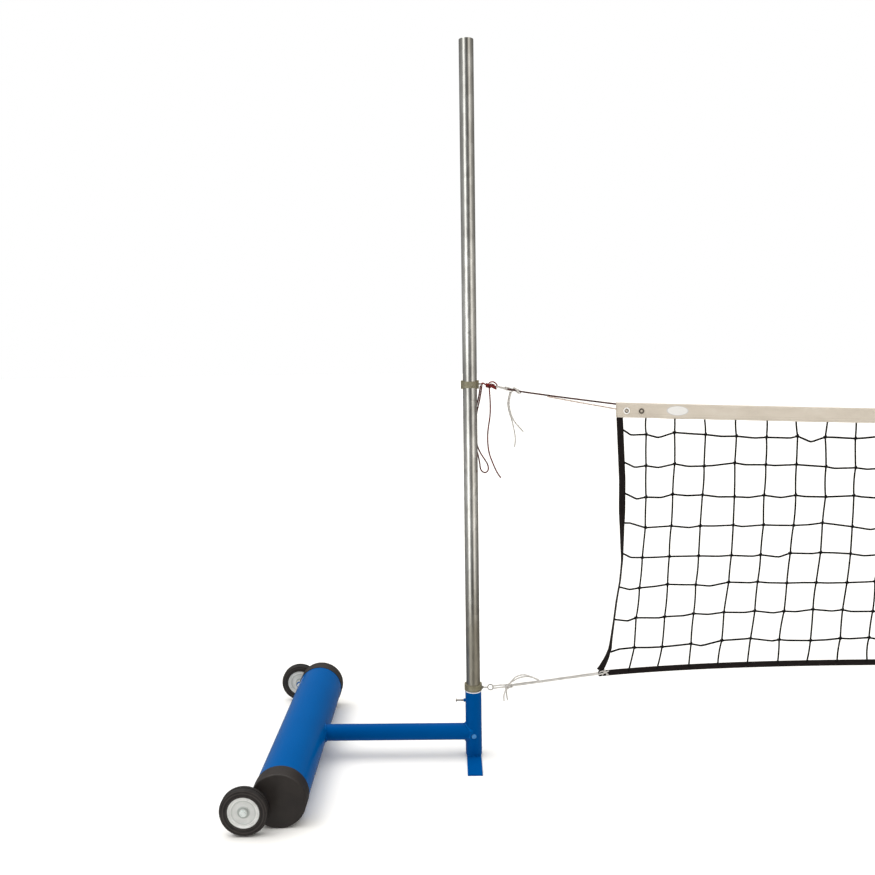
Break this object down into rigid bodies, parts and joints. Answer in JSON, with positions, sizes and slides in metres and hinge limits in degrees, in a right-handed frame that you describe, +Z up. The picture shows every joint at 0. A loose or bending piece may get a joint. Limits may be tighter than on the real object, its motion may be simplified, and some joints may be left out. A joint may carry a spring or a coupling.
{
  "type": "volleyball net on poles",
  "caption": "Long mesh sports net with a white headband, tied between tall galvanised poles that stand in blue wheeled tube bases.",
  "frame": {"origin": "on the floor, under the middle of the net, midway between the two poles", "axes": "+X along the net to the right-hand standard, +Y to the back, +Z up"},
  "size_m": [12.2926, 1.0376, 2.4384],
  "materials": {
    "blue_paint": "gloss enamel",
    "cap_plastic": "moulded, matt",
    "tyre_rubber": "moulded rubber",
    "hub_zinc": "bright zinc plate",
    "zinc_hardware": "zinc plate",
    "galvanised_tube": "galvanised, spangled",
    "cast_collar": "plain galvanised casting",
    "black_webbing": "woven",
    "red_cord": "braided",
    "white_cord": "braided",
    "cable_cover": "braided cover over wire rope",
    "white_vinyl": "coated cloth",
    "black_twine": "knotted twine",
    "nickel_eyelet": "nickel plate"
  },
  "bodies": {
    "standards": {"left_base_tube": "blue_paint", "left_end_caps": "cap_plastic", "left_arm": "blue_paint", "left_socket": "blue_paint", "left_foot_plate": "blue_paint", "left_weld_beads": "blue_paint", "left_wheel_brackets": "blue_paint", "right_base_tube": "blue_paint", "right_end_caps": "cap_plastic", "right_arm": "blue_paint", "right_socket": "blue_paint", "right_foot_plate": "blue_paint", "right_weld_beads": "blue_paint", "right_wheel_brackets": "blue_paint", "bracket_bolts": "zinc_hardware", "axle_bolts": "zinc_hardware", "stop_bolts": "blue_paint", "weld_nuts": "blue_paint"},
    "left_front_wheel": {"left_front_tyre": "tyre_rubber", "left_front_hub": "hub_zinc"},
    "left_rear_wheel": {"left_rear_tyre": "tyre_rubber", "left_rear_hub": "hub_zinc"},
    "left_upright": {"left_pole": "galvanised_tube"},
    "left_screw": {"left_screw_shank": "zinc_hardware"},
    "left_screw_turn": {"left_screw_head": "zinc_hardware"},
    "right_front_wheel": {"right_front_tyre": "tyre_rubber", "right_front_hub": "hub_zinc"},
    "right_rear_wheel": {"right_rear_tyre": "tyre_rubber", "right_rear_hub": "hub_zinc"},
    "right_upright": {"right_pole": "galvanised_tube"},
    "right_screw": {"right_screw_shank": "zinc_hardware"},
    "right_screw_turn": {"right_screw_head": "zinc_hardware"},
    "net": {"headband": "white_vinyl", "mesh": "black_twine", "bottom_tape": "black_webbing", "grommets": "nickel_eyelet", "left_side_tape": "black_webbing", "left_upper_collar": "cast_collar", "left_lower_collar": "cast_collar", "left_upper_eye": "zinc_hardware", "left_lower_eye": "zinc_hardware", "left_red_cord": "red_cord", "left_white_cord": "white_cord", "left_head_cable": "cable_cover", "left_lower_cord": "white_cord", "left_knots": "white_cord", "right_side_tape": "black_webbing", "right_upper_collar": "cast_collar", "right_lower_collar": "cast_collar", "right_upper_eye": "zinc_hardware", "right_lower_eye": "zinc_hardware", "right_red_cord": "red_cord", "right_white_cord": "white_cord", "right_head_cable": "cable_cover", "right_lower_cord": "white_cord", "right_knots": "white_cord"}
  },
  "joints": [
    {"name": "left_front_wheel_spin", "type": "hinge", "parent": "standards", "child": "left_front_wheel", "pos_m": [-6.0724, -0.4975, 0.0766], "axis": [0, 1, 0], "continuous": true},
    {"name": "left_rear_wheel_spin", "type": "hinge", "parent": "standards", "child": "left_rear_wheel", "pos_m": [-6.0724, 0.4975, 0.0766], "axis": [0, 1, 0], "continuous": true},
    {"name": "right_front_wheel_spin", "type": "hinge", "parent": "standards", "child": "right_front_wheel", "pos_m": [6.0724, -0.4975, 0.0766], "axis": [0, 1, 0], "continuous": true},
    {"name": "right_rear_wheel_spin", "type": "hinge", "parent": "standards", "child": "right_rear_wheel", "pos_m": [6.0724, 0.4975, 0.0766], "axis": [0, 1, 0], "continuous": true},
    {"name": "left_upright_lift", "type": "slide", "parent": "standards", "child": "left_upright", "axis": [0, 0, 1], "range_m": [0, 0.15]},
    {"name": "right_upright_lift", "type": "slide", "parent": "standards", "child": "right_upright", "axis": [0, 0, 1], "range_m": [0, 0.15]},
    {"name": "net_height", "type": "slide", "parent": "left_upright", "child": "net", "axis": [0, 0, 1], "range_m": [0, 1.05]},
    {"name": "left_screw_travel", "type": "slide", "parent": "standards", "child": "left_screw", "axis": [-1, 0, 0], "range_m": [0, 0.00508]},
    {"name": "left_screw_spin", "type": "hinge", "parent": "left_screw", "child": "left_screw_turn", "pos_m": [-5.432, 0, 0.203], "axis": [-1, 0, 0], "range_deg": [0, 1440.5]},
    {"name": "right_screw_travel", "type": "slide", "parent": "standards", "child": "right_screw", "axis": [1, 0, 0], "range_m": [0, 0.00508]},
    {"name": "right_screw_spin", "type": "hinge", "parent": "right_screw", "child": "right_screw_turn", "pos_m": [5.432, 0, 0.203], "axis": [1, 0, 0], "range_deg": [0, 1440.5]}
  ],
  "couplings": [
    {"joint": "right_upright_lift", "follows": "left_upright_lift", "ratio": 1},
    {"joint": "left_screw_spin", "follows": "left_screw_travel", "rad_per_m": 4947.4},
    {"joint": "right_screw_spin", "follows": "right_screw_travel", "rad_per_m": 4947.4}
  ]
}
